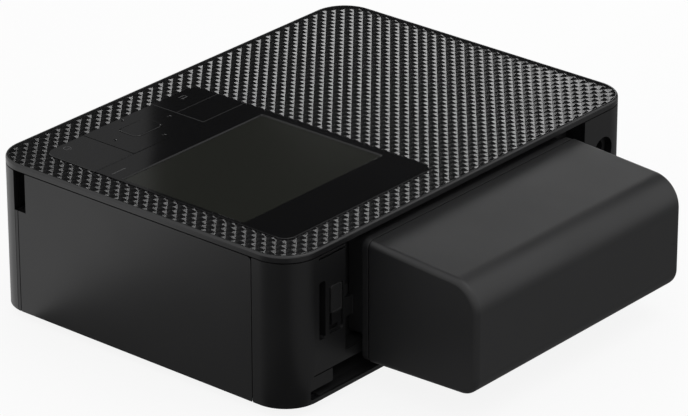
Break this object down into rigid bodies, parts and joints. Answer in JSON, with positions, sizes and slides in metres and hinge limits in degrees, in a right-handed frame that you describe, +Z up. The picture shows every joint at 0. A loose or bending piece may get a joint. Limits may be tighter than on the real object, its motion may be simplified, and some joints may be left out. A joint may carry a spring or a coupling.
{
  "type": "compact photo printer",
  "caption": "Small desktop photo printer with a textured lid, glossy screen and key panel, side ink door, front paper door and a clip-on battery at the back.",
  "frame": {"origin": "On the table under the middle of the whole object, battery included", "axes": "+X to the side with the ink door, +Y to the back where the battery is, +Z up"},
  "size_m": [0.1822, 0.1808, 0.0576],
  "materials": {
    "case_plastic": "fine satin moulded plastic",
    "textured_plastic": "moulded pyramid relief",
    "satin_plastic": "satin moulded plastic",
    "gloss_panel": "polished acrylic",
    "screen_glass": "polished glass over a dark screen",
    "inner_plastic": "matt moulded plastic",
    "gear_plastic": "natural acetal",
    "sheet_steel": "zinc-plated sheet",
    "steel_rod": "ground rod",
    "aluminium": "extruded",
    "brass": "turned and stamped",
    "rubber": "matt rubber",
    "circuit_board": "solder mask",
    "cell_wrap": "heat-shrunk sleeve"
  },
  "bodies": {
    "printer": {"bottom_cover": "case_plastic", "main_shell": "case_plastic", "rear_post": "case_plastic", "rear_sill": "case_plastic", "door_frame": "case_plastic", "front_shell": "case_plastic", "top_bezel": "satin_plastic", "top_plate": "textured_plastic", "panel_window": "gloss_panel", "panel_tray": "inner_plastic", "lcd_module": "sheet_steel", "lcd_glass": "screen_glass", "key_board": "circuit_board", "bay_plate": "inner_plastic", "bay_terminals": "brass", "dc_jack": "inner_plastic", "power_board": "circuit_board", "main_board": "circuit_board", "io_board": "circuit_board", "usb_port": "sheet_steel", "card_socket": "sheet_steel", "left_frame": "sheet_steel", "right_frame": "sheet_steel", "front_deck": "inner_plastic", "paper_guide": "inner_plastic", "roller_bushes": "brass", "motor_bracket": "sheet_steel", "feed_motor": "sheet_steel", "feet": "rubber", "case_screws": "steel_rod"},
    "ink_door": {"ink_door": "case_plastic", "ink_door_pins": "steel_rod"},
    "paper_door": {"paper_door": "case_plastic", "paper_door_pins": "steel_rod"},
    "power_key": {"power_key": "gloss_panel"},
    "return_key": {"return_key": "gloss_panel"},
    "menu_key": {"menu_key": "gloss_panel"},
    "nav_ring": {"nav_ring": "inner_plastic"},
    "nav_plate": {"nav_plate": "gloss_panel"},
    "ok_button": {"ok_button": "gloss_panel"},
    "lock_slider": {"lock_slider": "inner_plastic"},
    "battery": {"battery_base": "satin_plastic", "battery_shell": "satin_plastic", "battery_cells": "cell_wrap", "battery_board": "circuit_board"},
    "pinion": {"motor_pinion": "brass"},
    "reduction": {"reduction_gear": "gear_plastic"},
    "idler": {"idler_gear": "gear_plastic"},
    "capstan": {"capstan_roller": "steel_rod", "capstan_gear": "gear_plastic"},
    "platen": {"platen_shaft": "steel_rod", "platen_roller": "rubber"},
    "pinch": {"pinch_roller": "steel_rod"},
    "pickup": {"pickup_shaft": "steel_rod", "pickup_tyres": "rubber"},
    "takeup": {"takeup_hub": "gear_plastic"},
    "supply": {"supply_hub": "gear_plastic"},
    "head": {"head_arm": "sheet_steel", "thermal_head": "aluminium"},
    "eject_lever": {"eject_lever": "inner_plastic"}
  },
  "joints": [
    {"name": "ink_door_hinge", "type": "hinge", "parent": "printer", "child": "ink_door", "pos_m": [0.0871, 0.0313, 0.029], "axis": [0, 0, 1], "range_deg": [0, 98]},
    {"name": "paper_door_hinge", "type": "hinge", "parent": "printer", "child": "paper_door", "pos_m": [0.014, -0.0883, 0.0061], "axis": [1, 0, 0], "range_deg": [0, 90]},
    {"name": "power_key_press", "type": "slide", "parent": "printer", "child": "power_key", "axis": [0, 0, -1], "range_m": [0, 0.0005], "stiffness_N_per_m": 500, "springref_m": -0.0008},
    {"name": "return_key_press", "type": "slide", "parent": "printer", "child": "return_key", "axis": [0, 0, -1], "range_m": [0, 0.0005], "stiffness_N_per_m": 500, "springref_m": -0.0008},
    {"name": "menu_key_press", "type": "slide", "parent": "printer", "child": "menu_key", "axis": [0, 0, -1], "range_m": [0, 0.0005], "stiffness_N_per_m": 500, "springref_m": -0.0008},
    {"name": "nav_tilt_front_back", "type": "hinge", "parent": "printer", "child": "nav_ring", "pos_m": [0.0416, -0.067, 0.0547], "axis": [1, 0, 0], "range_deg": [-1.5, 1.5], "stiffness_Nm_per_rad": 0.4},
    {"name": "nav_tilt_left_right", "type": "hinge", "parent": "nav_ring", "child": "nav_plate", "pos_m": [0.0416, -0.067, 0.0547], "axis": [0, 1, 0], "range_deg": [-1.5, 1.5], "stiffness_Nm_per_rad": 0.4},
    {"name": "ok_button_press", "type": "slide", "parent": "printer", "child": "ok_button", "axis": [0, 0, -1], "range_m": [0, 0.0005], "stiffness_N_per_m": 500, "springref_m": -0.0008},
    {"name": "lock_slide", "type": "slide", "parent": "printer", "child": "lock_slider", "axis": [0, 0, -1], "range_m": [0, 0.007]},
    {"name": "battery_slide", "type": "slide", "parent": "printer", "child": "battery", "axis": [0, 1, 0], "range_m": [0, 0.06]},
    {"name": "capstan_spin", "type": "hinge", "parent": "printer", "child": "capstan", "pos_m": [0.014, 0.01, 0.012], "axis": [1, 0, 0], "continuous": true},
    {"name": "reduction_spin", "type": "hinge", "parent": "printer", "child": "reduction", "pos_m": [0.014, 0.00203, 0.01869], "axis": [1, 0, 0], "continuous": true},
    {"name": "pinion_spin", "type": "hinge", "parent": "printer", "child": "pinion", "pos_m": [0.014, -0.01319, 0.02578], "axis": [1, 0, 0], "continuous": true},
    {"name": "takeup_spin", "type": "hinge", "parent": "printer", "child": "takeup", "pos_m": [0.014, 0.007, 0.03723], "axis": [1, 0, 0], "continuous": true},
    {"name": "idler_spin", "type": "hinge", "parent": "printer", "child": "idler", "pos_m": [0.014, -0.03232, 0.02411], "axis": [1, 0, 0], "continuous": true},
    {"name": "pickup_spin", "type": "hinge", "parent": "printer", "child": "pickup", "pos_m": [0.014, -0.05391, 0.02487], "axis": [1, 0, 0], "continuous": true},
    {"name": "platen_spin", "type": "hinge", "parent": "printer", "child": "platen", "pos_m": [0.014, -0.016, 0.0118], "axis": [1, 0, 0], "continuous": true},
    {"name": "pinch_spin", "type": "hinge", "parent": "printer", "child": "pinch", "pos_m": [0.014, 0.01, 0.01925], "axis": [1, 0, 0], "continuous": true},
    {"name": "supply_spin", "type": "hinge", "parent": "printer", "child": "supply", "pos_m": [0.014, -0.056, 0.043], "axis": [1, 0, 0], "continuous": true},
    {"name": "head_swing", "type": "hinge", "parent": "printer", "child": "head", "pos_m": [0.014, -0.04, 0.03], "axis": [1, 0, 0], "range_deg": [-5.5, 0], "stiffness_Nm_per_rad": 2, "springref_deg": 5.73},
    {"name": "eject_lever_swing", "type": "hinge", "parent": "printer", "child": "eject_lever", "pos_m": [0.0798, -0.0495, 0.03], "axis": [1, 0, 0], "range_deg": [0, 60]}
  ],
  "couplings": [
    {"joint": "reduction_spin", "follows": "capstan_spin", "ratio": -1.1667},
    {"joint": "pinion_spin", "follows": "capstan_spin", "ratio": 2.9167},
    {"joint": "takeup_spin", "follows": "capstan_spin", "ratio": 1.9444},
    {"joint": "idler_spin", "follows": "capstan_spin", "ratio": -0.97222},
    {"joint": "pickup_spin", "follows": "capstan_spin", "ratio": 1.9444}
  ]
}
